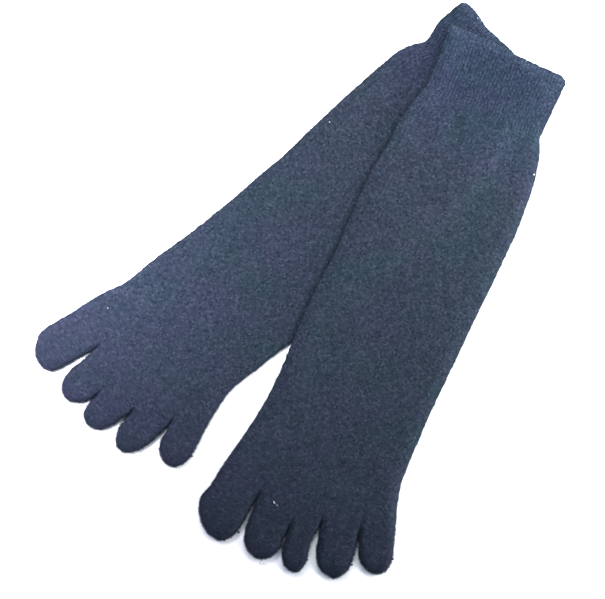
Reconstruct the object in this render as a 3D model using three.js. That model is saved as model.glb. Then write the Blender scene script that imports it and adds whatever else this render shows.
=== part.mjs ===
// A pair of knitted toe socks laid flat, one sock lying partly over the other.
// Millimetres, +Z up, with the undersides at z = 0 and the origin under the middle
// of the pair. Each sock is a ribbed cuff, a leg and foot knitted as one tube, and
// five toe pockets. Every piece is a hollow wall of knit pressed flat, so that its
// two panels lie on each other, and the cuff is open.

import * as THREE from 'three';

// ---- Driving sizes ------------------------------------------------------------

const KNIT_WALL = 1.5; // one layer of the knit
const PANEL_GAP = 0.3; // between the two panels at the side edges
const SEAM_GAP = 0.3; // between two pieces where they are knitted together
const FLAT_HEIGHT = 2 * KNIT_WALL + PANEL_GAP; // both panels together
const LEG_CROWN = 0.6; // how much higher the upper panel is in the middle of the leg
const TOE_CROWN = 1.2; // and in the middle of a toe pocket

const CUFF_DEPTH = 40; // from the cuff's edge to the end of the rib
const TOE_LINE = 298; // from the cuff's edge to where the toe pockets begin
const TIP_HEIGHT_SHARE = 0.6; // height of a pocket's blunt end, of the flat height
const TIP_WIDTH_SHARE = 0.3; // width of that end, of the pocket's width
const POCKET_SIDE_SHARES = [0, 0.5, 1]; // sections from a pocket's root to its ball
const POCKET_END_SHARES = [0.4, 0.7, 0.9, 1]; // and from its ball to its tip

const DRAPE_RISE = FLAT_HEIGHT + LEG_CROWN + SEAM_GAP; // upper sock above the surface
const DRAPE_MARGIN = 3; // it stays raised this far past the sock below
const DRAPE_RUN = 14; // and comes down to the surface over this width

const CUFF_STATIONS = 5; // stretches between sections along a cuff
const LEG_EDGE_STEPS = 4; // facets round a side edge of a cuff, leg or foot
const TOE_EDGE_STEPS = 2; // and of a toe pocket
const TOE_ACROSS_STEPS = 4; // facets across a toe pocket's panel

const KNIT_ROUGHNESS = 0.95;
const LEG_COLOUR = '#3f4a5c'; // dark slate-blue melange knit
const CUFF_COLOUR = '#3c4658';
const TOE_COLOUR = '#3d4759';

// ---- The two socks as they lie -------------------------------------------------
// cuffCentre is the middle of the cuff's open edge and heading is the way from it to
// the toes, in degrees from +X. In each section row, along is the distance from the
// cuff's edge, and bigSide and littleSide are the widths from the sock's centre line
// to its edge on the big toe's side and on the little toe's side. In each toe row, root
// and ball are the pocket's two edges across the sock, where it begins and where its
// round end begins, and tip is where its furthest point lies across the sock. stations
// and acrossSteps are how finely the leg and its panels are faceted.

const UNDER_SOCK = {
  name: 'under_sock',
  cuffCentre: [125.1, 147.1],
  heading: -136.2,
  stations: 20,
  acrossSteps: 6,
  sections: [
    { along: 0, bigSide: 36.2, littleSide: 36.5 },
    { along: 4, bigSide: 38.0, littleSide: 38.0 },
    { along: 18, bigSide: 38.8, littleSide: 38.5 },
    { along: 33, bigSide: 36.0, littleSide: 37.0 },
    { along: 40, bigSide: 39.5, littleSide: 40.0 },
    { along: 50, bigSide: 43.4, littleSide: 43.0 },
    { along: 80, bigSide: 45.2, littleSide: 46.0 },
    { along: 140, bigSide: 46.0, littleSide: 45.0 },
    { along: 180, bigSide: 48.0, littleSide: 42.0 },
    { along: 218, bigSide: 51.2, littleSide: 38.4 },
    { along: 245, bigSide: 55.0, littleSide: 36.0 },
    { along: 264, bigSide: 57.2, littleSide: 34.5 },
    { along: 280, bigSide: 61.7, littleSide: 37.6 },
    { along: 298, bigSide: 65.5, littleSide: 43.3 },
  ],
  toes: [
    { name: 'big', root: [-65.5, -38.0], ballAt: 321, ball: [-69.9, -45.0], tipAt: 335, tip: -55.5 },
    { name: 'second', root: [-38.0, -17.6], ballAt: 326, ball: [-41.3, -20.2], tipAt: 338, tip: -30.5 },
    { name: 'middle', root: [-17.6, 2.7], ballAt: 327, ball: [-19.9, 0.4], tipAt: 339, tip: -11.0 },
    { name: 'fourth', root: [2.7, 23.2], ballAt: 322, ball: [2.6, 23.3], tipAt: 336, tip: 13.0 },
    { name: 'little', root: [23.2, 43.3], ballAt: 310, ball: [25.2, 47.0], tipAt: 321, tip: 38.0 },
  ],
};

const OVER_SOCK = {
  name: 'over_sock',
  cuffCentre: [124.9, 143.3],
  heading: -115.5,
  stations: 27,
  acrossSteps: 10,
  sections: [
    { along: 0, bigSide: 37.6, littleSide: 37.6 },
    { along: 4, bigSide: 37.6, littleSide: 39.6 },
    { along: 16, bigSide: 36.2, littleSide: 39.6 },
    { along: 30, bigSide: 35.4, littleSide: 39.6 },
    { along: 40, bigSide: 34.0, littleSide: 40.5 },
    { along: 48, bigSide: 38.5, littleSide: 44.6 },
    { along: 60, bigSide: 41.0, littleSide: 47.8 },
    { along: 78, bigSide: 40.8, littleSide: 50.4 },
    { along: 102, bigSide: 43.0, littleSide: 52.2 },
    { along: 170, bigSide: 42.6, littleSide: 51.8 },
    { along: 235, bigSide: 40.7, littleSide: 52.6 },
    { along: 262, bigSide: 42.1, littleSide: 54.4 },
    { along: 276, bigSide: 43.9, littleSide: 58.8 },
    { along: 298, bigSide: 47.6, littleSide: 66.6 },
  ],
  toes: [
    { name: 'big', root: [-47.6, -19.0], ballAt: 322, ball: [-51.0, -21.8], tipAt: 339, tip: -32.0 },
    { name: 'second', root: [-19.0, 4.3], ballAt: 325, ball: [-18.9, 5.0], tipAt: 339, tip: -5.5 },
    { name: 'middle', root: [4.3, 20.2], ballAt: 327, ball: [6.2, 22.5], tipAt: 337, tip: 16.5 },
    { name: 'fourth', root: [20.2, 42.8], ballAt: 315, ball: [23.8, 47.4], tipAt: 330, tip: 40.0 },
    { name: 'little', root: [42.8, 66.6], ballAt: 305, ball: [46.6, 68.8], tipAt: 317, tip: 61.5 },
  ],
};

// ---- Small sums ------------------------------------------------------------------

const { lerp, smoothstep, degToRad } = THREE.MathUtils;

// The value of a column at a distance along the sock, on straight lines between rows.
function columnAt(rows, column, along) {
  const last = rows[rows.length - 1];
  if (along <= rows[0].along) return rows[0][column];
  if (along >= last.along) return last[column];
  const next = rows.findIndex((row) => row.along > along);
  const before = rows[next - 1];
  const after = rows[next];
  const share = (along - before.along) / (after.along - before.along);
  return lerp(before[column], after[column], share);
}

// From a place on the sock to a place on the surface that it lies on, and back.
function toSurface(sock, along, across) {
  const turn = degToRad(sock.heading);
  const [x, y] = sock.cuffCentre;
  return [
    x + along * Math.cos(turn) - across * Math.sin(turn),
    y + along * Math.sin(turn) + across * Math.cos(turn),
  ];
}

function toSock(sock, x, y) {
  const turn = degToRad(sock.heading);
  const dx = x - sock.cuffCentre[0];
  const dy = y - sock.cuffCentre[1];
  return [
    dx * Math.cos(turn) + dy * Math.sin(turn),
    dy * Math.cos(turn) - dx * Math.sin(turn),
  ];
}

// ---- How the upper sock drapes over the sock below --------------------------------

function noDrape() {
  return 0;
}

// The upper sock lies flat on the sock below, and past its side edge and past the
// edge of its cuff it comes down to the surface in one soft slope.
function drapeOverUnderSock(x, y) {
  const [along, across] = toSock(UNDER_SOCK, x, y);
  const pastSide = across - columnAt(UNDER_SOCK.sections, 'littleSide', along);
  const pastCuff = -along;
  const outside = Math.max(pastSide, pastCuff);
  return DRAPE_RISE * (1 - smoothstep(outside, DRAPE_MARGIN, DRAPE_MARGIN + DRAPE_RUN));
}

// ---- Rings of a tube that is pressed flat -----------------------------------------

// One ring in the section's own plane, as [across, z] pairs: over the underside,
// round the edge at "to", back over the upper panel and round the edge at "from".
// The upper panel rises to its crown along a parabola.
function flatRing({ from, to, base, height, crown, acrossSteps, edgeSteps }) {
  const radius = height / 2;
  const low = from + radius;
  const high = to - radius;
  const ring = [];
  for (let i = 0; i < acrossSteps; i += 1) {
    ring.push([lerp(low, high, i / acrossSteps), base]);
  }
  for (let i = 0; i < edgeSteps; i += 1) {
    const turn = Math.PI * (i / edgeSteps - 0.5);
    ring.push([high + radius * Math.cos(turn), base + radius + radius * Math.sin(turn)]);
  }
  for (let i = 0; i < acrossSteps; i += 1) {
    const share = i / acrossSteps;
    const rise = crown * (1 - (2 * share - 1) ** 2);
    ring.push([lerp(high, low, share), base + height + rise]);
  }
  for (let i = 0; i < edgeSteps; i += 1) {
    const turn = Math.PI * (i / edgeSteps + 0.5);
    ring.push([low + radius * Math.cos(turn), base + radius + radius * Math.sin(turn)]);
  }
  return ring;
}

// The section of the hollow, one wall in from the outer section all round.
function hollowOf(section) {
  return {
    ...section,
    from: section.from + KNIT_WALL,
    to: section.to - KNIT_WALL,
    base: section.base + KNIT_WALL,
    height: section.height - 2 * KNIT_WALL,
  };
}

function laidRing(sock, drape, along, section) {
  return flatRing(section).map(([across, z]) => {
    const [x, y] = toSurface(sock, along, across);
    return [x, y, z + drape(x, y)];
  });
}

// ---- Closed walls through those rings ----------------------------------------------

class KnitWall {
  constructor() {
    this.points = [];
    this.faces = [];
  }

  addRing(ring) {
    const first = this.points.length;
    this.points.push(...ring);
    return ring.map((_, i) => first + i);
  }

  addBand(ringA, ringB) {
    ringA.forEach((_, i) => {
      const next = (i + 1) % ringA.length;
      this.faces.push(ringA[i], ringA[next], ringB[next]);
      this.faces.push(ringA[i], ringB[next], ringB[i]);
    });
  }

  addBands(rings) {
    rings.slice(1).forEach((ring, i) => this.addBand(rings[i], ring));
  }

  // A lid over a ring. It faces on along the sock, or back where that is asked.
  addLid(ring, facesBack) {
    const middle = [0, 1, 2].map((axis) => {
      const sum = ring.reduce((total, point) => total + this.points[point][axis], 0);
      return sum / ring.length;
    });
    const [centre] = this.addRing([middle]);
    ring.forEach((point, i) => {
      const next = ring[(i + 1) % ring.length];
      this.faces.push(centre, ...(facesBack ? [next, point] : [point, next]));
    });
  }

  geometry() {
    const geometry = new THREE.BufferGeometry();
    const positions = new THREE.Float32BufferAttribute(this.points.flat(), 3);
    geometry.setAttribute('position', positions);
    geometry.setIndex(this.faces);
    geometry.computeVertexNormals();
    return geometry;
  }
}

// A tube that is open at both ends: out along the outer rings, back along the inner
// ones, and closed into one loop by a rim at each end.
function openSleeve(outerRings, innerRings) {
  const wall = new KnitWall();
  const outer = outerRings.map((ring) => wall.addRing(ring));
  const inner = innerRings.map((ring) => wall.addRing(ring));
  wall.addBands([...outer, ...inner.reverse(), outer[0]]);
  return wall.geometry();
}

// A pocket that is open at its first ring and closed past its last.
function closedPocket(outerRings, innerRings) {
  const wall = new KnitWall();
  const outer = outerRings.map((ring) => wall.addRing(ring));
  const inner = innerRings.map((ring) => wall.addRing(ring));
  wall.addLid(outer[outer.length - 1], false);
  wall.addLid(inner[inner.length - 1], true);
  wall.addBands([...inner.reverse(), ...outer]);
  return wall.geometry();
}

function knitPiece(name, colour, geometry) {
  const material = new THREE.MeshStandardMaterial({
    color: colour,
    roughness: KNIT_ROUGHNESS,
    metalness: 0,
  });
  const mesh = new THREE.Mesh(geometry, material);
  mesh.name = name;
  return mesh;
}

// ---- The pieces of a sock -----------------------------------------------------------

// A stretch of the sock's tube between two distances from the cuff's edge.
function tubeStretch(sock, drape, start, end, stations) {
  const outerRings = [];
  const innerRings = [];
  for (let k = 0; k <= stations; k += 1) {
    const along = lerp(start, end, k / stations);
    const section = {
      from: -columnAt(sock.sections, 'bigSide', along),
      to: columnAt(sock.sections, 'littleSide', along),
      base: 0,
      height: FLAT_HEIGHT,
      crown: LEG_CROWN,
      acrossSteps: sock.acrossSteps,
      edgeSteps: LEG_EDGE_STEPS,
    };
    outerRings.push(laidRing(sock, drape, along, section));
    innerRings.push(laidRing(sock, drape, along, hollowOf(section)));
  }
  return openSleeve(outerRings, innerRings);
}

// A toe pocket's two edges at a distance along the sock: straight sides from its root
// to its ball, then a round end that leans to where the tip lies.
function pocketEdges(toe, along) {
  const side = Math.min(1, (along - TOE_LINE) / (toe.ballAt - TOE_LINE));
  const from = lerp(toe.root[0] + SEAM_GAP / 2, toe.ball[0], side);
  const to = lerp(toe.root[1] - SEAM_GAP / 2, toe.ball[1], side);
  const end = Math.max(0, (along - toe.ballAt) / (toe.tipAt - toe.ballAt));
  const centre = lerp((from + to) / 2, toe.tip, end ** 2);
  const roundness = Math.max(TIP_WIDTH_SHARE, Math.sqrt(1 - end ** 2));
  const half = ((to - from) / 2) * roundness;
  return [centre - half, centre + half];
}

function pocketSection(toe, along) {
  const [from, to] = pocketEdges(toe, along);
  return {
    from,
    to,
    base: 0,
    height: FLAT_HEIGHT,
    crown: along === toe.tipAt ? 0 : TOE_CROWN,
    acrossSteps: TOE_ACROSS_STEPS,
    edgeSteps: TOE_EDGE_STEPS,
  };
}

// The last section of a pocket, lower than the rest and raised off the surface, so that
// the tip is rounded from the side too.
function bluntEnd(section) {
  const height = FLAT_HEIGHT * TIP_HEIGHT_SHARE;
  return { ...section, base: (FLAT_HEIGHT - height) / 2, height };
}

function toePocket(sock, drape, toe) {
  const root = TOE_LINE + SEAM_GAP / 2;
  const hollowShare = (toe.tipAt - KNIT_WALL - root) / (toe.tipAt - root);
  const places = [
    ...POCKET_SIDE_SHARES.map((share) => lerp(root, toe.ballAt, share)),
    ...POCKET_END_SHARES.map((share) => lerp(toe.ballAt, toe.tipAt, share)),
  ];
  const outerRings = places.map((along) => {
    const section = pocketSection(toe, along);
    return laidRing(sock, drape, along, along === toe.tipAt ? bluntEnd(section) : section);
  });
  const innerRings = places.map((along) => {
    const hollowAlong = lerp(root, along, hollowShare);
    return laidRing(sock, drape, hollowAlong, hollowOf(pocketSection(toe, along)));
  });
  return closedPocket(outerRings, innerRings);
}

function toeSock(sock, drape) {
  const group = new THREE.Group();
  const seam = SEAM_GAP / 2;
  const cuff = tubeStretch(sock, drape, 0, CUFF_DEPTH - seam, CUFF_STATIONS);
  group.add(knitPiece(`${sock.name}_ribbed_cuff`, CUFF_COLOUR, cuff));
  const leg = tubeStretch(sock, drape, CUFF_DEPTH + seam, TOE_LINE - seam, sock.stations);
  group.add(knitPiece(`${sock.name}_leg_and_foot`, LEG_COLOUR, leg));
  sock.toes.forEach((toe) => {
    const pocket = toePocket(sock, drape, toe);
    group.add(knitPiece(`${sock.name}_${toe.name}_toe`, TOE_COLOUR, pocket));
  });
  return group;
}

// ---- The pair, with its origin under the middle -----------------------------------------

const pair = new THREE.Group();
pair.add(toeSock(UNDER_SOCK, noDrape));
pair.add(toeSock(OVER_SOCK, drapeOverUnderSock));

const extent = new THREE.Box3().setFromObject(pair);
const middle = extent.getCenter(new THREE.Vector3());
pair.position.set(-middle.x, -middle.y, -extent.min.z);

export default pair;
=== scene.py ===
"""A pair of knitted toe socks, laid flat, with one lying partly over the other.

Each sock is a ribbed cuff, a plain leg and foot, and five toe pockets, and each of these is a thin
knitted wall, open inside. Sizes are in millimetres, and a mesh is turned to metres when it is made.
Every sock has its own directions: along runs from the cuff's open edge to the toes, and across runs
from the big toe's side (below zero) to the little toe's side (above zero).
"""
import math

import bmesh
import bpy
import numpy as np
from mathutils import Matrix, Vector, noise
from mathutils.bvhtree import BVHTree


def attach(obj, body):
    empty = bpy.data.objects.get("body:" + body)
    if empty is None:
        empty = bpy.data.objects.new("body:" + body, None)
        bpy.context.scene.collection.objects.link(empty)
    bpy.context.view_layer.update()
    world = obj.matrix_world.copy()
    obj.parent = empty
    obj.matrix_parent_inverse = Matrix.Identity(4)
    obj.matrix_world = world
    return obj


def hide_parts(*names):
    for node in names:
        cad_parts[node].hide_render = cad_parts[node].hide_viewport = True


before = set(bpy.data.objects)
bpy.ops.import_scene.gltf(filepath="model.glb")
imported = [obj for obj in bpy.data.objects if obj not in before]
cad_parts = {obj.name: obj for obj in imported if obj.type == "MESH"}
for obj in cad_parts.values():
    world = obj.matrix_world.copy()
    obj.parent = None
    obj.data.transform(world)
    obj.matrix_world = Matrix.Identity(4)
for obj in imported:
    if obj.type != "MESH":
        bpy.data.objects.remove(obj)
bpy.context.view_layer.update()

MM = 0.001
WELD = 0.002  # points closer than this become one, in millimetres

# ---- sizes of the knit

KNIT_WALL = 0.8
CUFF_DEPTH = 40.0
STRAIGHT_END = 300.0  # along, where the last row would lie if no row leant
LEAN_START, LEAN_RUN = 0.62, 0.38  # shares of the leg and foot, where its rows lean to the toe gaps
SETTLE_RUN = 120.0  # over this much the foot's five strips come to the widths of the toes
TOES_FORM, TOES_FORM_RUN = 262.0, 40.0  # along, where the foot's sides grow as round as the toes
SIDE_HEIGHT = 1.4  # height of the fold at the sock's side
TOE_SIDE_HEIGHT = 1.9
SIDE_ROUND = 9.0  # how far in the fold at the side is rounded
SIDE_BEND = 0.85  # 0.5 is as round as a pipe, 1 is an even slope that flattens inwards
LIP_ROUND = 4.0  # how far in the cuff's mouth turns down, and by how much
LIP_DROP = 0.8
UNDERSIDE_ROUND_SHARE = 0.3
TOE_ROUND_SHARE = 0.38
GAP_ROUND = 3.0  # how far in a crease between two toes is rounded, at its far end
TIP_DOME, TIP_TUCK = 2.2, 5.0  # how late a toe's top and underside close towards its tip
COLUMNS_PER_TOE = 20
STRIP_PACKING = (0.82, 2.5)  # how much closer columns are at a side, and over how many of them
CUFF_PACKING = (0.6, 5.0)
LEG_ROW = 1.5
CUFF_ROW = 1.1
CUFF_COLUMN = 0.42
CUFF_WIDTH = 76.0
STRIP_WIDTH = 19.0  # one fifth of the leg, as its wales are counted
STITCH_WIDTH, STITCH_HEIGHT = 1.25, 1.05  # a knitter's are 0.8; coarser, to show from so far
SOCK_LENGTH = 345.0
POCKET_ROWS = 16
TIP_ROWS = 15
RIB_SPACING = 2.0
RIB_HEIGHT = 0.45
RIB_FADE = 9.0  # over this much of the cuff's depth the ribs flatten into the plain knit
DRAPE_CELL = 1.0
DRAPE_CURVE = 0.013  # how sharply the upper sock bends down beside the lower one, per mm
DRAPE_CLEARANCE = 0.25
DRAPE_STEPS, DRAPE_SOFTENING = 900, 6
HIGH_UP = 50.0  # a height to look down on both socks from
FEEL_FROM = 30.0  # the height from which a curl's place is felt for
SAME_SPOT = 0.4  # this much farther still counts as equally near
PRESSED = 1.3  # how much the lower sock flattens under the upper one
PRESSED_RUN = 6.0

# along, thickness of the flattened sock
THICKNESS = [(0, 4.0), (34, 3.9), (48, 3.5), (120, 3.3), (200, 3.4), (262, 3.8), (300, 4.1)]

# how a lying panel rises and falls by itself: height, size from crest to crest, step of the seed
UNEVEN = [(0.34, 46.0, 0), (0.20, 19.0, 3), (0.10, 7.0, 5), (0.05, 3.2, 8)]

# ---- the two socks

# A section's columns: along, reach to the big toe's side, reach to the little toe's side.
# A toe's columns: side points from its root to its tip (waist, ball, shoulder) on the big toe's
# side, the tip, the same on the little toe's side, and its thickness. A gap's columns: where the
# two toes part (along, across), and how far its crease runs back into the foot.

UNDER_SOCK = {
    "name": "under_sock",
    "cuff_centre": (125.1, 147.1),
    "heading": -136.2,
    "seed": 11,
    "sections": [
        (-2, 37.6, 37.6), (4, 38.1, 38.0), (18, 38.8, 38.5), (33, 36.0, 37.0), (40, 39.9, 40.0),
        (50, 43.4, 43.0), (80, 45.2, 46.0), (110, 45.8, 46.0), (140, 45.8, 45.0),
        (160, 47.1, 43.4), (180, 47.9, 41.8), (205, 50.0, 39.6), (218, 51.3, 38.4),
        (245, 54.9, 36.0), (262, 56.2, 34.3), (280, 61.7, 37.6), (303, 66.4, 44.7),
    ],
    "root": (303, 296),
    # the cuff's open edge: across, along
    "mouth": [(-38.0, 1.6), (-35.5, -0.1), (-30.8, -0.6), (-24, 0.1), (-16.7, 1.2), (-6, 0.6),
              (4, 0.0), (20, -0.4), (34, -0.2), (38.0, 1.6)],
    "gaps": [(306.0, -40.4, 17), (325.0, -19.6, 16), (316.5, 2.3, 14), (305.0, 23.7, 20)],
    "toes": [
        ("big_toe", [(312, -68.6), (322, -69.8), (331.1, -64.5)], (335.3, -56.5),
         [(315, -43.1), (326.5, -46.0), (332.6, -48.8)], 4.7),
        ("second_toe", [(314, -40.3), (326, -41.1), (334.5, -37.9)], (338.1, -31.0),
         [(327.2, -20.3), (330.5, -21.6), (335.0, -24.9)], 4.4),
        ("middle_toe", [(327.4, -19.6), (331, -18.9), (336.5, -17.0)], (339.5, -10.3),
         [(321, 1.2), (329, -0.1), (335.8, -3.3)], 4.4),
        ("fourth_toe", [(320, 2.7), (326, 3.5), (332.3, 7.0)], (336.0, 13.4),
         [(312.6, 23.5), (324, 22.8), (331.9, 19.4)], 4.4),
        ("little_toe", [(309.0, 25.3), (314.6, 27.2), (319.6, 31.3)], (321.7, 38.3),
         [(304, 45.0), (312, 46.3), (318.6, 44.5)], 4.5),
    ],
    # creases of the upper panel: two ends (along, across), depth, half width, bow to one side
    "creases": [
        ((16, -33), (80, -16), 0.90, 6.5, 0.0),
        ((52, 34), (120, 26), 0.30, 6.0, -4.0),
        ((150, -34), (215, -24), 0.22, 7.0, 5.0),
        ((206, -8), (268, -22), 0.25, 8.0, 4.8),
        ((238, 24), (286, 8), 0.30, 6.0, -5.0),
        ((120, -2), (170, 6), 0.20, 9.0, 0.0),
        ((276, -52), (300, -40), 0.28, 4.0, 2.0),
        ((282, 28), (300, 12), 0.30, 4.0, -2.0),
    ],
    "lifts": [],
}

OVER_SOCK = {
    "name": "over_sock",
    "cuff_centre": (124.9, 143.3),
    "heading": -115.5,
    "seed": 29,
    "sections": [
        (-2, 38.4, 39.4), (2, 38.1, 39.6), (16, 36.2, 39.6), (30, 35.3, 39.7), (37, 35.0, 39.9),
        (41, 35.5, 41.3), (46, 36.7, 43.8), (54, 38.8, 46.2), (66, 40.6, 49.0), (79, 41.0, 50.5),
        (100, 43.0, 51.9), (130, 42.5, 52.0), (152, 41.6, 51.7), (180, 42.6, 51.8),
        (210, 41.7, 51.8), (236, 40.6, 52.6), (258, 41.6, 53.8), (272, 43.3, 57.0),
        (284, 45.3, 61.5), (300, 47.8, 67.2),
    ],
    "root": (300, 292),
    "mouth": [(-38.4, 1.2), (-36.2, -0.1), (-25.2, -0.6), (-12.3, -1.4), (1.4, -0.7), (8.1, -0.5),
              (21.2, -0.8), (29.0, -1.2), (35.7, -1.1), (38.4, 0.0), (39.6, 2.0)],
    "gaps": [(305.5, -20.3, 11), (316.0, 5.0, 16), (304.3, 20.8, 11), (300.8, 44.6, 20)],
    "toes": [
        ("big_toe", [(311, -48.8), (321.5, -51.0), (332.6, -45.2)], (339.3, -33.5),
         [(315, -21.3), (328, -22.3), (336.2, -25.9)], 4.7),
        ("second_toe", [(314, -19.5), (324, -18.8), (333.8, -15.5)], (339.0, -5.8),
         [(321, 4.4), (328, 4.7), (335.3, 1.8)], 4.5),
        ("middle_toe", [(320, 5.8), (327, 6.6), (334.4, 10.6)], (337.4, 16.8),
         [(316, 20.2), (329, 22.5), (335.0, 21.4)], 4.3),
        ("fourth_toe", [(312, 23.3), (320, 25.8), (327, 30.5)], (330.4, 40.4),
         [(309, 46.1), (320, 47.7), (327.6, 44.8)], 4.5),
        ("little_toe", [(306, 47.4), (312, 50.4), (315.8, 55.5)], (317.3, 61.8),
         [(299, 66.9), (307.3, 69.0), (314.1, 67.4)], 4.5),
    ],
    "creases": [
        ((47, -15), (64, -3), 0.90, 4.5, 0.0),
        ((52, 15), (72, 36), 0.35, 5.0, 1.5),
        ((46, -26), (104, -34), 0.35, 5.0, -3.0),
        ((96, -18), (150, -6), 0.18, 8.0, 4.0),
        ((166, -41), (169, 4), 0.30, 4.0, 3.0),
        ((169, -6), (174, 1), 0.25, 3.0, 0.0),
        ((176, 16), (240, 34), 0.20, 8.0, -5.0),
        ((214, -22), (262, -8), 0.22, 7.0, 5.0),
        ((281, -8), (281, 60), 0.42, 6.0, 9.5),
        ((284, -34), (300, -24), 0.25, 4.0, 2.0),
    ],
    # where the cloth stands off what it lies on: along, across, height, reach along, reach across
    "lifts": [(14, -38, 5.0, 36.0, 10.0), (58, -42, 2.0, 34.0, 7.0)],
}
OVER_BOX = (-75.0, -195.0, 180.0, 165.0)  # low x and y, high x and y of the table under it

# the same kind of creases on the panels that lie on the table
UNDERSIDE_CREASES = [
    ((60, -18), (130, -26), 0.25, 6.0, 4.0),
    ((110, 22), (190, 12), 0.20, 7.0, -5.0),
    ((196, -30), (262, -12), 0.25, 6.0, 5.0),
    ((228, 20), (288, 4), 0.22, 6.0, -4.0),
]


# ---- small sums

def eased(x):
    """0 below 0, 1 above 1, and an even S between."""
    t = np.clip(x, 0.0, 1.0)
    return t * t * (3.0 - 2.0 * t)


def bent(t, start, stop, lead, trail):
    """The place at share t of a curve that leaves one end along lead and meets the other along trail."""
    return ((2 * t**3 - 3 * t**2 + 1) * start + (t**3 - 2 * t**2 + t) * lead
            + (3 * t**2 - 2 * t**3) * stop + (t**3 - t**2) * trail)


def through_table(rows, column, x):
    """A smooth line through a table's first and given column, with no overshoot."""
    xs = np.array([row[0] for row in rows], float)
    ys = np.array([row[column] for row in rows], float)
    steps = np.diff(ys) / np.diff(xs)
    slopes = np.zeros(len(xs))
    rising = steps[:-1] * steps[1:] > 0
    slopes[1:-1] = np.where(rising, 2 * steps[:-1] * steps[1:] / (steps[:-1] + steps[1:] + 1e-12), 0)
    slopes[0], slopes[-1] = steps[0], steps[-1]
    x = np.clip(np.asarray(x, float), xs[0], None)
    i = np.clip(np.searchsorted(xs, x, side="right") - 1, 0, len(xs) - 2)
    span = xs[i + 1] - xs[i]
    t = np.where(x > xs[-1], 1.0, (x - xs[i]) / span)
    value = bent(t, ys[i], ys[i + 1], span * slopes[i], span * slopes[i + 1])
    return value + np.where(x > xs[-1], (x - xs[-1]) * slopes[-1], 0.0)


def smooth_run(before, points, after, count):
    """count + 1 points evenly spaced on a smooth curve through points."""
    chain = np.array([before, *points, after], float)
    fine = []
    for k in range(1, len(chain) - 2):
        p0, p1, p2, p3 = chain[k - 1:k + 3]
        t = np.linspace(0, 1, 24, endpoint=False)[:, None]
        reach = np.linalg.norm(p2 - p1)
        lead = (p2 - p0) / (np.linalg.norm(p2 - p0) + 1e-9) * reach
        trail = (p3 - p1) / (np.linalg.norm(p3 - p1) + 1e-9) * reach
        fine.append(bent(t, p1, p2, lead, trail))
    fine.append(chain[-2][None])
    fine = np.concatenate(fine)
    run = np.concatenate([[0], np.cumsum(np.linalg.norm(np.diff(fine, axis=0), axis=1))])
    even = np.linspace(0, run[-1], count + 1)
    return np.stack([np.interp(even, run, fine[:, 0]), np.interp(even, run, fine[:, 1])], 1)


def shoulder(distance, reach, bend=0.5):
    """The rise of a rounded edge: 0 at the edge, 1 from reach inwards."""
    q = np.clip(distance / np.maximum(reach, 1e-6), 0.0, 1.0)
    return np.clip(1.0 - (1.0 - q) ** 2, 0.0, 1.0) ** bend


def packed_columns(count, packing, left, right):
    """Shares across a row, closer together at a side that is rounded (1) than at a flat one (0)."""
    closer, run = packing
    step = np.arange(count)
    size = 1.0 - closer * left * np.exp(-step / run) - closer * right * np.exp(-(count - 1 - step) / run)
    return np.concatenate([[0.0], np.cumsum(size) / size.sum()])


def ripple(points, size, seed):
    """Soft unevenness from -1 to 1, about size millimetres from crest to crest."""
    flat = points.reshape(-1, 2)
    values = [noise.noise(Vector((a / size, x / size, seed))) for a, x in flat]
    return np.array(values).reshape(points.shape[:-1])


def strip_columns(k):
    """The columns of the strip of the leg and foot that ends in toe k."""
    return slice(k * COLUMNS_PER_TOE, (k + 1) * COLUMNS_PER_TOE + 1)


# ---- the flat pattern of a sock

def table_place(sock, along, across):
    """x and y on the table of a place on the sock."""
    turn = math.radians(sock["heading"])
    return (sock["cuff_centre"][0] + along * math.cos(turn) - across * math.sin(turn),
            sock["cuff_centre"][1] + along * math.sin(turn) + across * math.cos(turn))


def own_place(sock, x, y):
    """Along and across on the sock of a place on the table."""
    turn = math.radians(sock["heading"])
    x, y = x - sock["cuff_centre"][0], y - sock["cuff_centre"][1]
    return x * math.cos(turn) + y * math.sin(turn), y * math.cos(turn) - x * math.sin(turn)


def side_reach(sock, along):
    """Across of the two sides of the sock at a distance along it."""
    return -through_table(sock["sections"], 1, along), through_table(sock["sections"], 2, along)


def strip_lines(sock):
    """The six lines that part the foot into five strips, one for each toe, as they meet the toes."""
    big_root, little_root = sock["root"]
    left = (big_root, float(side_reach(sock, big_root)[0]))
    right = (little_root, float(side_reach(sock, little_root)[1]))
    return [left, *[gap[:2] for gap in sock["gaps"]], right]


def body_pattern(sock):
    """Points (row, column) of the leg and foot, and how deep and wide each strip's two creases are."""
    ends = strip_lines(sock)
    rows = round((STRAIGHT_END - CUFF_DEPTH) / LEG_ROW)
    pattern = np.zeros((rows + 1, 5 * COLUMNS_PER_TOE + 1, 2))
    depths = np.zeros((rows + 1, 6))
    for i in range(rows + 1):
        share = i / rows
        line = []
        for k, (end_along, end_across) in enumerate(ends):
            lean = float(eased((share - LEAN_START) / LEAN_RUN))
            along = CUFF_DEPTH + share * (STRAIGHT_END - CUFF_DEPTH) + lean * (end_along - STRAIGHT_END)
            low, high = side_reach(sock, along)
            end_low, end_high = side_reach(sock, end_along)
            end_share = (end_across - end_low) / (end_high - end_low)
            settle = float(eased((along - (end_along - SETTLE_RUN)) / SETTLE_RUN))
            place = k / 5 + (end_share - k / 5) * settle
            line.append((along, low + (high - low) * place))
            if k in (0, 5):
                depths[i, k] = 1.0
            else:
                crease = sock["gaps"][k - 1][2]
                near = 1.0 - (end_along - along) / crease
                depths[i, k] = 0.30 * float(eased(near)) + 0.70 * float(eased(near * 1.9 - 0.9)) ** 1.5
        for k in range(5):
            shares = packed_columns(COLUMNS_PER_TOE, STRIP_PACKING, depths[i, k], depths[i, k + 1])
            start, stop = np.array(line[k]), np.array(line[k + 1])
            pattern[i, strip_columns(k)] = start + (stop - start) * shares[:, None]
    return pattern, depths


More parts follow.
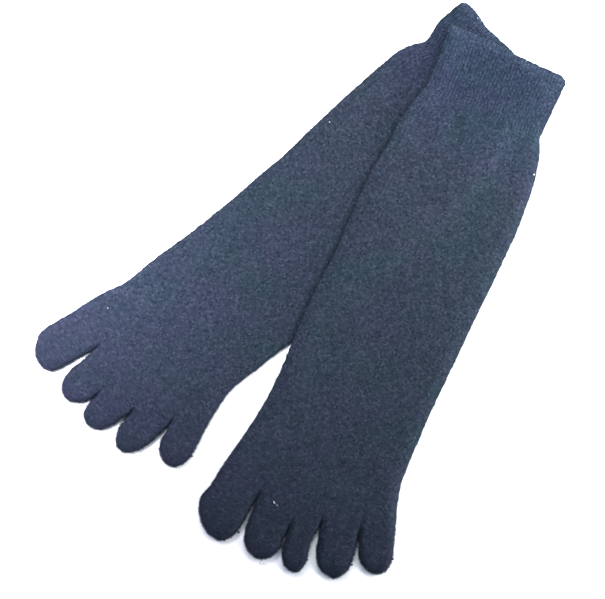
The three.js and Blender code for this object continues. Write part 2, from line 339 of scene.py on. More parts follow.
def toe_pattern(sock, k):
    """Points (row, column) of one toe pocket, from its root to its tip, and each row's share to it."""
    _, big_side, tip, little_side, _ = sock["toes"][k]
    ends = strip_lines(sock)
    sides = []
    for side, points, other in ((0, big_side, little_side), (1, little_side, big_side)):
        root = ends[k + side]
        waist, ball, side_shoulder = points
        outer = k == 4 * side
        if outer:
            back = root[0] - 8.0
            before = (back, float(side_reach(sock, back)[side]))
        else:
            before = (2 * root[0] - waist[0], 2 * root[1] - waist[1])
        pocket = smooth_run(before, [root, waist, ball], side_shoulder, POCKET_ROWS)
        end = smooth_run(waist, [ball, side_shoulder, tip], other[2], TIP_ROWS)
        sides.append(np.concatenate([pocket, end[1:]]))
    rows = POCKET_ROWS + TIP_ROWS
    pattern = np.zeros((rows + 1, COLUMNS_PER_TOE + 1, 2))
    shares = packed_columns(COLUMNS_PER_TOE, STRIP_PACKING, 1.0, 1.0)[:, None]
    for i in range(rows + 1):
        pattern[i] = sides[0][i] + (sides[1][i] - sides[0][i]) * shares
    middle = (sides[0][:, 0] + sides[1][:, 0]) / 2
    closing = (middle - middle[POCKET_ROWS]) / (tip[0] - middle[POCKET_ROWS])
    return pattern, np.clip(closing, 0.0, 1.0)


def strip_distances(pattern):
    """Each point's distance, along its row, from the row's two ends."""
    steps = np.linalg.norm(np.diff(pattern, axis=1), axis=2)
    from_left = np.concatenate([np.zeros((len(pattern), 1)), np.cumsum(steps, axis=1)], axis=1)
    return from_left, from_left[:, -1:] - from_left


# ---- height of the cloth

def crease_field(creases, pattern):
    """The depth of all the troughs at each point, in millimetres."""
    depth = np.zeros(pattern.shape[:-1])
    for start, stop, deep, half, bow in creases:
        start, stop = np.array(start, float), np.array(stop, float)
        run = stop - start
        length = np.linalg.norm(run)
        ahead = run / length
        aside = np.array([-ahead[1], ahead[0]])
        offset = pattern - start
        t = (offset @ ahead) / length
        s = offset @ aside - bow * 4 * t * (1 - t)
        inside = eased(t / 0.35) * eased((1 - t) / 0.35)
        depth += deep * inside * np.exp(-(s / half) ** 2)
    return depth


def stand_off(sock, pattern):
    """How far the cloth stands off what it lies on, in millimetres."""
    height = np.zeros(pattern.shape[:-1])
    for along, across, high, reach_along, reach_across in sock["lifts"]:
        ahead = (pattern[..., 0] - along) / reach_along
        aside = (pattern[..., 1] - across) / reach_across
        height += high * np.exp(-(ahead ** 2 + aside ** 2))
    return height


def pressed_under(sock, above, pattern):
    """How much of a sock's loft the sock above it takes away, from 0 beside it to 1 under it."""
    if above is None:
        return np.zeros(pattern.shape[:-1])
    along, across = own_place(above, *table_place(sock, pattern[..., 0], pattern[..., 1]))
    low, high = side_reach(above, along)
    inside = np.minimum(np.minimum(across - low, high - across), along + 3.0)
    return eased((inside + 0.7 * PRESSED_RUN) / PRESSED_RUN)


def loft(sock, pattern, above):
    """How thick the flattened sock is, in millimetres."""
    return through_table(THICKNESS, 1, pattern[..., 0]) - PRESSED * pressed_under(sock, above, pattern)


def give(sock, pattern):
    """How far the upper panel rises above its plain form, or falls below it in its creases."""
    uneven = sum(high * ripple(pattern, size, sock["seed"] + step) for high, size, step in UNEVEN)
    return uneven - crease_field(sock["creases"], pattern)


def at_heights(pattern, *heights):
    """The pattern's points at each of the heights given."""
    return [np.concatenate([pattern, height[..., None]], axis=2) for height in heights]


def body_panels(sock, pattern, depths, above):
    """Upper and lower panel (along, across, height) of the leg and foot."""
    upper = np.ones(pattern.shape[:-1])
    lower = np.ones(pattern.shape[:-1])
    for k in range(5):
        part = strip_columns(k)
        from_left, from_right = strip_distances(pattern[:, part])
        half = from_left[:, -1:] / 2
        for line, distance in ((k, from_left), (k + 1, from_right)):
            depth = depths[:, line:line + 1]
            outer = line in (0, 5)
            grown = eased((pattern[:, part][..., 0] - TOES_FORM) / TOES_FORM_RUN)
            narrow = SIDE_ROUND if outer else GAP_ROUND
            reach = narrow + (half * TOE_ROUND_SHARE - narrow) * (grown if outer else depth)
            bend = SIDE_BEND + (0.5 - SIDE_BEND) * grown if outer else 0.5
            rise = shoulder(distance, reach, bend)
            fall = shoulder(distance, reach * UNDERSIDE_ROUND_SHARE)
            upper[:, part] *= 1.0 - depth * (1.0 - rise)
            lower[:, part] *= 1.0 - depth * (1.0 - fall)
    # the two strips beside a crease share its column, so both have lowered it
    for line in range(1, 5):
        column = line * COLUMNS_PER_TOE
        upper[:, column] = 1.0 - depths[:, line]
        lower[:, column] = 1.0 - depths[:, line]
    top = SIDE_HEIGHT + upper * (loft(sock, pattern, above) - SIDE_HEIGHT + give(sock, pattern))
    hollow = np.clip(crease_field(UNDERSIDE_CREASES, pattern), 0, 0.3)
    bottom = SIDE_HEIGHT * (1.0 - lower) + lower * hollow
    return at_heights(pattern, top, bottom)


def toe_panels(sock, k, pattern, closing):
    """Upper and lower panel of one toe pocket, rounded at both sides and at the tip."""
    thickness = sock["toes"][k][4]
    from_left, from_right = strip_distances(pattern)
    half = from_left[:, -1:] / 2
    reach = np.maximum(half * TOE_ROUND_SHARE, 1e-3)
    upper = shoulder(from_left, reach) * shoulder(from_right, reach)
    lower = (shoulder(from_left, reach * UNDERSIDE_ROUND_SHARE)
             * shoulder(from_right, reach * UNDERSIDE_ROUND_SHARE))
    filled = eased(np.arange(len(pattern)) / POCKET_ROWS)[:, None]
    dome = np.sqrt(np.clip(1.0 - closing ** TIP_DOME, 0.0, 1.0))[:, None]
    tuck = np.sqrt(np.clip(1.0 - closing ** TIP_TUCK, 0.0, 1.0))[:, None]
    root = through_table(THICKNESS, 1, pattern[..., 0][:1])
    full = root + (thickness - root) * filled
    side = SIDE_HEIGHT + (TOE_SIDE_HEIGHT - SIDE_HEIGHT) * filled
    top = side + upper * dome * (full - side + give(sock, pattern))
    bottom = side * (1.0 - lower * tuck)
    return at_heights(pattern, top, bottom)


def cuff_panels(sock, above):
    """Upper and lower panel of the cuff, with columns fine enough to carry its ribs."""
    rows = round(CUFF_DEPTH / CUFF_ROW)
    columns = round(CUFF_WIDTH / CUFF_COLUMN)
    pattern = np.zeros((rows + 1, columns + 1, 2))
    share = packed_columns(columns, CUFF_PACKING, 1.0, 1.0)
    mouth_low, mouth_high = side_reach(sock, 0.0)
    mouth = through_table(sock["mouth"], 1, mouth_low + (mouth_high - mouth_low) * share)
    for i in range(rows + 1):
        along = mouth + (CUFF_DEPTH - mouth) * i / rows
        low, high = side_reach(sock, along)
        pattern[i] = np.stack([along, low + (high - low) * share], 1)
    from_left, from_right = strip_distances(pattern)
    upper = shoulder(from_left, SIDE_ROUND, SIDE_BEND) * shoulder(from_right, SIDE_ROUND, SIDE_BEND)
    lip = LIP_DROP * (1.0 - shoulder(pattern[..., 0] - mouth, LIP_ROUND, SIDE_BEND))
    low_reach = SIDE_ROUND * UNDERSIDE_ROUND_SHARE
    lower = shoulder(from_left, low_reach) * shoulder(from_right, low_reach)
    top = SIDE_HEIGHT + upper * (loft(sock, pattern, above) - SIDE_HEIGHT + give(sock, pattern) - lip)
    bottom = SIDE_HEIGHT * (1.0 - lower)
    return at_heights(pattern, top, bottom)


# ---- from a sock's own directions to the table

def waver(flat, seed):
    """How far the cloth strays sideways from a drawn line, in millimetres."""
    return 0.25 * ripple(flat, 4.0, seed) + 0.4 * ripple(flat, 1.9, seed + 2)


def placed(sock, panel, drape):
    """Turns a panel's points to their place on the table, lifted by what lies below it."""
    flat, seed = panel[..., :2], sock["seed"]
    x, y = table_place(sock, panel[..., 0] + waver(flat, seed + 12), panel[..., 1] + waver(flat, seed + 17))
    lift = drape(x, y) + stand_off(sock, panel)
    return np.stack([x, y, panel[..., 2] + lift], axis=-1)


def lies_on_table(x, y):
    """How the lower sock is carried: flat on the table."""
    return np.zeros_like(x)


def beside(height):
    """The sum of the heights in the four cells round each cell."""
    edged = np.pad(height, 1, mode="edge")
    return edged[:-2, 1:-1] + edged[2:, 1:-1] + edged[1:-1, :-2] + edged[1:-1, 2:]


def lies_over(trees, box):
    """How the upper sock is carried: over the lower one, then down to the table in a soft bend."""
    low_x, low_y, high_x, high_y = box
    xs = np.arange(low_x, high_x + DRAPE_CELL, DRAPE_CELL)
    ys = np.arange(low_y, high_y + DRAPE_CELL, DRAPE_CELL)
    below = np.zeros((len(xs), len(ys)))
    for i, x in enumerate(xs):
        for j, y in enumerate(ys):
            hits = [tree.ray_cast(Vector((x, y, HIGH_UP)), Vector((0, 0, -1)))[0] for tree in trees]
            below[i, j] = max([0.0, *[hit.z + DRAPE_CLEARANCE for hit in hits if hit]])
    height = below.copy()
    sag = DRAPE_CURVE * DRAPE_CELL ** 2 / 2
    for _ in range(DRAPE_STEPS):
        height = np.maximum(np.maximum(beside(height) / 4 - sag, below), 0.0)
    for _ in range(DRAPE_SOFTENING):
        height = (beside(height) + 2 * height) / 6

    def carried(x, y):
        i = np.clip((x - low_x) / DRAPE_CELL, 0, len(xs) - 1.001)
        j = np.clip((y - low_y) / DRAPE_CELL, 0, len(ys) - 1.001)
        i0, j0 = i.astype(int), j.astype(int)
        s, t = i - i0, j - j0
        return ((1 - s) * (1 - t) * height[i0, j0] + s * (1 - t) * height[i0 + 1, j0]
                + (1 - s) * t * height[i0, j0 + 1] + s * t * height[i0 + 1, j0 + 1])

    return carried


# ---- meshes

def new_object(name, data):
    """An object in the scene."""
    made = bpy.data.objects.new(name, data)
    bpy.context.scene.collection.objects.link(made)
    return made


def knit_uv(panel, first_wale, wales, first_course):
    """Wales and courses in millimetres: across the panel by share, along it by length."""
    run = strip_distances(panel)[0]
    u = first_wale + run / np.maximum(run[:, -1:], 1e-6) * wales
    rise = np.linalg.norm(np.diff(panel, axis=0), axis=2)
    v = first_course + np.concatenate([np.zeros((1, panel.shape[1])), np.cumsum(rise, axis=0)], axis=0)
    return np.stack([u, v], axis=-1)


def quads(panel):
    """The corners of a panel's faces, as numbers of its points, row by row."""
    rows, columns = panel.shape[:2]
    grid = np.arange(rows * columns).reshape(rows, columns)
    return np.stack([grid[:-1, :-1], grid[1:, :-1], grid[1:, 1:], grid[:-1, 1:]], -1).reshape(-1, 4)


def skin(name, panels, uvs):
    """One welded skin from its upper and lower panels, with the knit's directions as its UV map."""
    points = np.concatenate([p.reshape(-1, 3) for p in panels])
    maps = np.concatenate([m.reshape(-1, 2) for m in uvs])
    upper, lower = panels
    faces = np.concatenate([quads(upper), upper[..., 0].size + quads(lower)[:, ::-1]])
    keys = np.round(points / WELD).astype(np.int64)
    _, kept, welded = np.unique(keys, axis=0, return_index=True, return_inverse=True)
    welded = welded.reshape(-1)
    polygons, corners = [], []
    for quad in faces:
        polygon, corner = [], []
        for index in quad:
            if welded[index] not in polygon:
                polygon.append(int(welded[index]))
                corner.append(index)
        if len(polygon) > 2:
            polygons.append(polygon)
            corners.extend(corner)
    mesh = bpy.data.meshes.new(name)
    mesh.from_pydata((points[kept] * MM).tolist(), [], polygons)
    layer = mesh.uv_layers.new(name="knit")
    layer.data.foreach_set("uv", maps[corners].astype(np.float32).ravel())
    for column, direction in enumerate(("around", "course")):
        mesh.attributes.new(direction, "FLOAT", "POINT").data.foreach_set(
            "value", maps[kept, column].astype(np.float32))
    mesh.polygons.foreach_set("use_smooth", [True] * len(mesh.polygons))
    mesh.update()
    return new_object(name, mesh)


def plain_mesh(piece):
    """Works the piece's modifiers into its mesh and takes them off."""
    seen = piece.evaluated_get(bpy.context.evaluated_depsgraph_get())
    mesh = bpy.data.meshes.new_from_object(seen)
    piece.modifiers.clear()
    piece.data = mesh


def worked(piece, tree, **sizes):
    """Makes the piece over by a node tree, with the tree's named sizes set by their sockets."""
    modifier = piece.modifiers.new(tree.name, "NODES")
    modifier.node_group = tree
    for item in tree.interface.items_tree:
        if item.item_type == "SOCKET" and item.in_out == "INPUT" and item.name in sizes:
            modifier[item.identifier] = sizes[item.name]
    plain_mesh(piece)


def cut_of(pattern):
    """Width all round, length and flat area of a tube whose flat half is the pattern, in metres."""
    row_widths = np.linalg.norm(np.diff(pattern, axis=1), axis=2).sum(axis=1)
    length = pattern[..., 0].max() - pattern[..., 0].min()
    one_way = pattern[1:, 1:] - pattern[:-1, :-1]
    other_way = pattern[:-1, 1:] - pattern[1:, :-1]
    half = np.abs(one_way[..., 0] * other_way[..., 1] - one_way[..., 1] * other_way[..., 0]).sum() / 2
    return (2 * row_widths.max() * MM, length * MM), 2 * half * MM ** 2


def joined(name, pieces):
    """One piece on the skins of several, to be worked into something that sits on them."""
    whole = bmesh.new()
    for piece in pieces:
        whole.from_mesh(piece.data)
    mesh = bpy.data.meshes.new(name)
    whole.to_mesh(mesh)
    whole.free()
    return new_object(name, mesh)


def give_wall(piece):
    """Turns the skin into a wall of knitted cloth, inwards from the outside."""
    wall = piece.modifiers.new("knit_wall", "SOLIDIFY")
    wall.thickness = KNIT_WALL * MM
    wall.offset = -1.0
    wall.use_rim = True
    wall.use_even_offset = False
    plain_mesh(piece)
    piece.data.set_sharp_from_angle(angle=math.radians(62))


def panel_tree(panel):
    """What can be felt for from above: a panel's outside, in millimetres."""
    return BVHTree.FromPolygons(panel.reshape(-1, 3).tolist(), quads(panel).tolist())


# ---- node trees

MATH = "ShaderNodeMath"


def add(tree, kind, inputs=None, **settings):
    """Adds a node with its settings and inputs: a value, a socket, or a node for its first output."""
    node = tree.nodes.new(kind)
    for name, value in settings.items():
        setattr(node, name, value)
    for name, value in (inputs or {}).items():
        socket = node.inputs[name]
        if isinstance(value, bpy.types.Node):
            tree.links.new(value.outputs[0], socket)
        elif isinstance(value, bpy.types.NodeSocket):
            tree.links.new(value, socket)
        else:
            socket.default_value = value
    return node


def linear(code):
    """A colour written as sRGB hex, as the renderer's linear colour."""
    channels = [int(code[i:i + 2], 16) / 255 for i in (1, 3, 5)]
    return tuple(c / 12.92 if c <= 0.04045 else ((c + 0.055) / 1.055) ** 2.4 for c in channels) + (1.0,)


def size_tree(name, sizes):
    """An empty node tree for meshes, with its named sizes; gives the tree and its input node."""
    tree = bpy.data.node_groups.new(name, "GeometryNodeTree")
    tree.interface.new_socket("Mesh", in_out="INPUT", socket_type="NodeSocketGeometry")
    tree.interface.new_socket("Mesh", in_out="OUTPUT", socket_type="NodeSocketGeometry")
    for size, (kind, value) in sizes.items():
        tree.interface.new_socket(size, in_out="INPUT", socket_type=kind).default_value = value
    return tree, add(tree, "NodeGroupInput").outputs


def end_tree(tree, mesh, finish):
    """Ends a tree in real geometry with its finish."""
    real = add(tree, "GeometryNodeRealizeInstances", {"Geometry": mesh})
    finished = add(tree, "GeometryNodeSetMaterial", {"Geometry": real.outputs[0], "Material": finish})
    add(tree, "NodeGroupOutput", {"Mesh": finished.outputs[0]})
    return tree


def held_above(tree, mesh, height):
    """Keeps a mesh off the table: what would pass below the height lies flat on it."""
    place = add(tree, "GeometryNodeInputPosition")
    parts = add(tree, "ShaderNodeSeparateXYZ", {0: place})
    above = add(tree, MATH, {0: parts.outputs["Z"], 1: height}, operation="MAXIMUM")
    rested = add(tree, "ShaderNodeCombineXYZ", {
        "X": parts.outputs["X"], "Y": parts.outputs["Y"], "Z": above})
    return add(tree, "GeometryNodeSetPosition", {"Geometry": mesh, "Position": rested})


def rib_tree(finish):
    """Knit-one purl-one ribs: rounded ridges down the cuff, which flatten into the plain knit."""
    tree, size = size_tree("rib_one_by_one", {
        "Rib spacing": ("NodeSocketFloat", RIB_SPACING),
        "Rib height": ("NodeSocketFloat", RIB_HEIGHT * MM),
        "Cuff depth": ("NodeSocketFloat", CUFF_DEPTH),
        "Fade": ("NodeSocketFloat", RIB_FADE),
    })
    around = add(tree, "GeometryNodeInputNamedAttribute", {"Name": "around"}, data_type="FLOAT")
    course = add(tree, "GeometryNodeInputNamedAttribute", {"Name": "course"}, data_type="FLOAT")
    ribs = add(tree, MATH, {0: around, 1: size["Rib spacing"]}, operation="DIVIDE")
    turn = add(tree, MATH, {0: ribs, 1: math.pi}, operation="MULTIPLY")
    wave = add(tree, MATH, {0: turn}, operation="COSINE")
    bare = add(tree, MATH, {0: wave}, operation="ABSOLUTE")
    round_rib = add(tree, MATH, {0: bare, 1: 0.8}, operation="POWER")
    ridge = add(tree, MATH, {0: round_rib, 1: 0.55}, operation="SUBTRACT")
    left = add(tree, MATH, {0: size["Cuff depth"], 1: course}, operation="SUBTRACT")
    near_end = add(tree, MATH, {0: left, 1: size["Fade"]}, operation="DIVIDE")
    strength = add(tree, "ShaderNodeMapRange", {"Value": near_end}, interpolation_type="SMOOTHSTEP")
    tall = add(tree, MATH, {0: ridge, 1: size["Rib height"]}, operation="MULTIPLY")
    height = add(tree, MATH, {0: tall, 1: strength}, operation="MULTIPLY")
    outwards = add(tree, "GeometryNodeInputNormal")
    offset = add(tree, "ShaderNodeVectorMath", {0: outwards, "Scale": height}, operation="SCALE")
    moved = add(tree, "GeometryNodeSetPosition", {"Geometry": size["Mesh"], "Offset": offset})
    return end_tree(tree, held_above(tree, moved, 0.0), finish)


def nap_tree(finish):
    """Loose fibre ends that stand a little off the knit, all over the outside."""
    tree, size = size_tree("loose_fibre_ends", {
        "Fibres per square metre": ("NodeSocketFloat", 8000000.0),
        "Share on top": ("NodeSocketFloat", 0.02),
        "Fibre length": ("NodeSocketFloat", 0.9 * MM),
        "Fibre width": ("NodeSocketFloat", 0.14 * MM),
        "Seed": ("NodeSocketInt", 1),
    })
    outwards = add(tree, "GeometryNodeInputNormal")
    facing = add(tree, "ShaderNodeSeparateXYZ", {0: outwards})
    seen = add(tree, "FunctionNodeCompare", {0: facing.outputs["Z"], 1: -0.3},
               data_type="FLOAT", operation="GREATER_THAN")
    share_here = add(tree, "ShaderNodeMapRange", {
        "Value": facing.outputs["Z"], "From Min": 0.90, "From Max": 0.45,
        "To Min": size["Share on top"], "To Max": 1.0})
    thick = add(tree, MATH, {0: share_here, 1: size["Fibres per square metre"]}, operation="MULTIPLY")
    spread = add(tree, "GeometryNodeDistributePointsOnFaces", {
        "Mesh": size["Mesh"], "Selection": seen, "Density": thick, "Seed": size["Seed"]})
    strip = add(tree, "GeometryNodeMeshGrid", {
        "Size X": size["Fibre width"], "Size Y": size["Fibre length"], "Vertices X": 2, "Vertices Y": 3})
    place = add(tree, "GeometryNodeInputPosition")
    parts = add(tree, "ShaderNodeSeparateXYZ", {0: place})
    half = add(tree, MATH, {0: size["Fibre length"], 1: 0.5}, operation="MULTIPLY")
    share = add(tree, MATH, {0: parts.outputs["Y"], 1: size["Fibre length"]}, operation="DIVIDE")
    bowed = add(tree, MATH, {0: share, 1: share}, operation="MULTIPLY")
    curl = add(tree, MATH, {0: bowed, 1: size["Fibre length"]}, operation="MULTIPLY")
    arc = add(tree, "ShaderNodeCombineXYZ", {"Y": half, "Z": curl})
    fibre = add(tree, "GeometryNodeSetPosition", {"Geometry": strip, "Offset": arc})
    lean = add(tree, "FunctionNodeRandomValue", {
        0: (0.3, -0.5, 0.0), 1: (1.5, 0.5, 2 * math.pi), "Seed": size["Seed"]}, data_type="FLOAT_VECTOR")
    swing = add(tree, "FunctionNodeEulerToRotation", {0: lean})
    turned = add(tree, "FunctionNodeRotateRotation", {
        "Rotation": spread.outputs["Rotation"], "Rotate By": swing}, rotation_space="LOCAL")
    big = add(tree, "FunctionNodeRandomValue", {2: 0.5, 3: 1.2, "Seed": size["Seed"]}, data_type="FLOAT")
    hairs = add(tree, "GeometryNodeInstanceOnPoints", {
        "Points": spread.outputs["Points"], "Instance": fibre, "Rotation": turned, "Scale": big.outputs[1]})
    real = add(tree, "GeometryNodeRealizeInstances", {"Geometry": hairs})
    return end_tree(tree, held_above(tree, real, 0.1 * MM), finish)


def curl_tree(name, finish):
    """A curl of loose yarn or fibre on the knit."""
    tree, size = size_tree(name, {
        "Place": ("NodeSocketVector", (0.0, 0.0, 0.0)),
        "Reach": ("NodeSocketFloat", 1.2 * MM),
        "Turns": ("NodeSocketFloat", 1.6),
        "Strand": ("NodeSocketFloat", 0.12 * MM),
        "Heading": ("NodeSocketFloat", 0.0),
        "Long": ("NodeSocketFloat", 1.0),
    })
    inner = add(tree, MATH, {0: size["Reach"], 1: 0.25}, operation="MULTIPLY")
    curl = add(tree, "GeometryNodeCurveSpiral", {
        "Resolution": 24, "Rotations": size["Turns"], "Start Radius": inner,
        "End Radius": size["Reach"], "Height": inner})
    stray = add(tree, "ShaderNodeTexNoise", {"Scale": 900.0, "Detail": 1.0}, noise_dimensions="3D")
    # less is taken off the height, so that the curl lies on the knit and not in it
    middled = add(tree, "ShaderNodeVectorMath", {0: stray.outputs["Color"], 1: (0.5, 0.5, 0.3)},
                  operation="SUBTRACT")
    swerve = add(tree, "ShaderNodeVectorMath", {0: middled, "Scale": size["Reach"]}, operation="SCALE")
    loose = add(tree, "GeometryNodeSetPosition", {"Geometry": curl, "Offset": swerve})
    section = add(tree, "GeometryNodeCurvePrimitiveCircle", {"Resolution": 5, "Radius": size["Strand"]})
    strand = add(tree, "GeometryNodeCurveToMesh", {
        "Curve": loose, "Profile Curve": section, "Fill Caps": True})
    heading = add(tree, "ShaderNodeCombineXYZ", {"Z": size["Heading"]})
    stretch = add(tree, "ShaderNodeCombineXYZ", {"X": size["Long"], "Y": 1.0, "Z": 1.0})
    laid = add(tree, "GeometryNodeTransform", {
        "Geometry": strand, "Translation": size["Place"], "Rotation": heading, "Scale": stretch})
    everything = add(tree, "GeometryNodeJoinGeometry", {"Geometry": size["Mesh"]})
    tree.links.new(laid.outputs[0], everything.inputs["Geometry"])
    return end_tree(tree, everything, finish)


def new_material(name):
    """A material and its empty node tree."""
    material = bpy.data.materials.new(name)
    material.use_nodes = True
    material.node_tree.nodes.clear()
    return material, material.node_tree


def melange_knit(name, wale, course, ribbed):
    """Combed cotton blend, spun from dyed and undyed fibre and knitted fine, with a dry, matt face.

    The eye sees a grainy blue-grey: most stitches are near the middle of the blend, and a few take
    much more dark or pale fibre. The cloth is a touch bluer at the cuff, and warmer and a little
    darker at the toes. The first few millimetres from the cuff's open edge are painted paler, a
    painted highlight on the rim of its mouth. In ribbed cloth the valleys between the ribs are
    painted darker, painted shade, and the crests a touch paler, a painted highlight.
    """
    material, tree = new_material(name)
    # the relief: a wale is two slanting legs, and each stitch bows up between its ends
    place = add(tree, "ShaderNodeUVMap", uv_map="knit")
    split = add(tree, "ShaderNodeSeparateXYZ", {0: place})
    wales = add(tree, MATH, {0: split.outputs["X"], 1: wale}, operation="DIVIDE")
    courses = add(tree, MATH, {0: split.outputs["Y"], 1: course}, operation="DIVIDE")
    within = add(tree, MATH, {0: wales}, operation="FRACT")
    centred = add(tree, MATH, {0: within, 1: 0.5}, operation="SUBTRACT")
    leg = add(tree, MATH, {0: centred}, operation="ABSOLUTE")
    slant = add(tree, MATH, {0: leg, 1: 0.9, 2: courses}, operation="MULTIPLY_ADD")
    climb = add(tree, MATH, {0: slant}, operation="FRACT")
    bow = add(tree, MATH, {0: climb, 1: math.pi}, operation="MULTIPLY")
    loop = add(tree, MATH, {0: bow}, operation="SINE")
    aside = add(tree, MATH, {0: leg, 1: math.pi if ribbed else 2 * math.pi}, operation="MULTIPLY")
    strand = add(tree, MATH, {0: aside}, operation="COSINE" if ribbed else "SINE")
    rounded = add(tree, MATH, {0: loop, 1: 0.6, 2: 0.4}, operation="MULTIPLY_ADD")
    stitch_height = add(tree, MATH, {0: strand, 1: rounded}, operation="MULTIPLY")

    # the grain: each stitch's own share of pale fibre, with a little of what runs through the yarn
    halves = add(tree, MATH, {0: wales, 1: 2.0 if ribbed else 1.0}, operation="MULTIPLY")
    column = add(tree, MATH, {0: halves}, operation="FLOOR")
    slip = add(tree, "ShaderNodeTexWhiteNoise", {"W": column}, noise_dimensions="1D")
    slipped = add(tree, MATH, {0: slant, 1: slip}, operation="ADD")
    row = add(tree, MATH, {0: slipped}, operation="FLOOR")
    cell = add(tree, "ShaderNodeCombineXYZ", {"X": column, "Y": row})
    stitch = add(tree, "ShaderNodeTexWhiteNoise", {"Vector": cell}, noise_dimensions="2D")
    spun = add(tree, "ShaderNodeMapping", {"Vector": place, "Scale": (0.62, 0.95, 1.0)})
    fibre = add(tree, "ShaderNodeTexNoise",
                {"Vector": spun, "Scale": 1.0, "Detail": 2.0, "Roughness": 0.6}, noise_dimensions="2D")
    fibre_share = add(tree, MATH, {0: fibre, 1: FIBRE_SHARE}, operation="MULTIPLY")
    grain = add(tree, MATH, {0: stitch, 1: 1.0 - FIBRE_SHARE, 2: fibre_share}, operation="MULTIPLY_ADD")
    length = add(tree, MATH, {0: split.outputs["Y"], 1: SOCK_LENGTH}, operation="DIVIDE")
    strength = add(tree, "ShaderNodeMapRange", {
        "Value": length, "From Min": 0.74, "From Max": 0.90, "To Min": 3.15, "To Max": 2.4})
    off_middle = add(tree, MATH, {0: grain, 1: 0.5}, operation="SUBTRACT")
    how_far = add(tree, MATH, {0: off_middle}, operation="ABSOLUTE")
    sparse = add(tree, MATH, {0: off_middle, 1: how_far}, operation="MULTIPLY")
    evened = add(tree, MATH, {0: sparse, 1: strength, 2: 0.5}, operation="MULTIPLY_ADD")
    patch = add(tree, "ShaderNodeTexNoise", {
        "Vector": place, "Scale": 0.036, "Detail": 1.5, "Roughness": 0.5}, noise_dimensions="2D")

    # the colour: yarn, its tone along the sock (with a painted highlight at the cuff's open edge), and
    # greener and redder patches
    shade = add(tree, "ShaderNodeValToRGB", {"Fac": evened})
    tone = add(tree, "ShaderNodeValToRGB", {"Fac": length})
    hue = add(tree, "ShaderNodeValToRGB", {"Fac": patch})
    for ramp, stops in ((shade, YARN_SHADES), (tone, TONES_AND_LIP_HIGHLIGHT), (hue, HUES)):
        elements = ramp.color_ramp.elements
        elements.remove(elements[1])
        elements[0].position, elements[0].color = stops[0]
        for position, colour in stops[1:]:
            elements.new(position).color = colour
    # painted shade: the valleys between the cuff's ribs are darker, and their crests a touch paler, a
    # painted highlight
    rib_shade_painted = add(tree, "ShaderNodeMapRange", {
        "Value": strand, "From Min": 0.0, "From Max": 0.8,
        "To Min": 0.72 if ribbed else 1.0, "To Max": 1.06 if ribbed else 1.0})
    toned = add(tree, "ShaderNodeMix", {
        "Factor": 1.0, 6: shade.outputs["Color"], 7: tone.outputs["Color"]},
        data_type="RGBA", blend_type="MULTIPLY")
    dyed = add(tree, "ShaderNodeMix", {"Factor": 1.0, 6: toned.outputs[2], 7: hue.outputs["Color"]},
               data_type="RGBA", blend_type="MULTIPLY")

    shaded = add(tree, "ShaderNodeVectorMath", {0: dyed.outputs[2], "Scale": rib_shade_painted}, operation="SCALE")
    relief = add(tree, "ShaderNodeBump", {"Strength": 0.5, "Distance": 0.0003, "Height": stitch_height})
    fuzz = add(tree, "ShaderNodeBump", {
        "Strength": 0.5, "Distance": 0.0005, "Height": fibre.outputs[0], "Normal": relief})
    cloth = add(tree, "ShaderNodeBsdfPrincipled", {
        "Base Color": shaded,
        "Roughness": 0.95,
        "Specular IOR Level": 0.05,
        "Sheen Weight": 0.25,
        "Sheen Roughness": 0.35,
        "Sheen Tint": (0.5, 0.65, 1.0, 1.0),
        "Normal": fuzz,
    })
    add(tree, "ShaderNodeOutputMaterial", {"Surface": cloth})
    return material


def plain_finish(name, colour, roughness):
    """An even, matt surface."""
    material, tree = new_material(name)
    body = add(tree, "ShaderNodeBsdfPrincipled", {
        "Base Color": linear(colour), "Roughness": roughness, "Specular IOR Level": 0.1})
    add(tree, "ShaderNodeOutputMaterial", {"Surface": body})
    return material


FIBRE_SHARE = 0.4
YARN = "#1f2733"
YARN_SHADES = [(0.0, linear("#08111e")), (0.5, linear(YARN)), (1.0, linear("#343b49"))]
# share of the sock's length, what the yarn's colour is multiplied by there; the first stop, paler,
# is a painted highlight along the cuff's open edge, where the rim of its mouth would catch the light
TONES_AND_LIP_HIGHLIGHT = [
    (0.010, (1.13, 1.20, 1.28, 1.0)), (0.018, (0.93, 0.97, 1.08, 1.0)), (0.08, (0.93, 0.97, 1.08, 1.0)),
    (0.24, (1.0, 1.01, 0.97, 1.0)), (0.78, (1.0, 1.01, 0.97, 1.0)), (0.92, (0.98, 0.87, 0.91, 1.0)),
]
HUES = [(0.30, (1.10, 0.965, 1.0, 1.0)), (0.70, (0.93, 1.03, 0.91, 1.0))]
PLAIN_KNIT = melange_knit("melange_plain_knit", STITCH_WIDTH, STITCH_HEIGHT, False)
TOE_KNIT = melange_knit("melange_toe_knit", STITCH_WIDTH, STITCH_HEIGHT, False)
RIB_KNIT = melange_knit("melange_rib_knit", RIB_SPACING, STITCH_HEIGHT, True)
RIBS = rib_tree(RIB_KNIT)
FIBRE_ENDS = nap_tree(plain_finish("fibre_ends", "#10141c", 0.9))
YARN_ENDS = curl_tree("yarn_ends", plain_finish("loose_yarn", YARN, 0.9))
CAUGHT_LINT = curl_tree("caught_lint", plain_finish("pale_lint", "#a4a6ab", 0.9))


# ---- building a sock

def wrapped(uvs, around):
    """Counts the lower panel's wales on from the upper panel's, back round the tube."""
    uvs[1][..., 0] = around - uvs[1][..., 0]
    return uvs


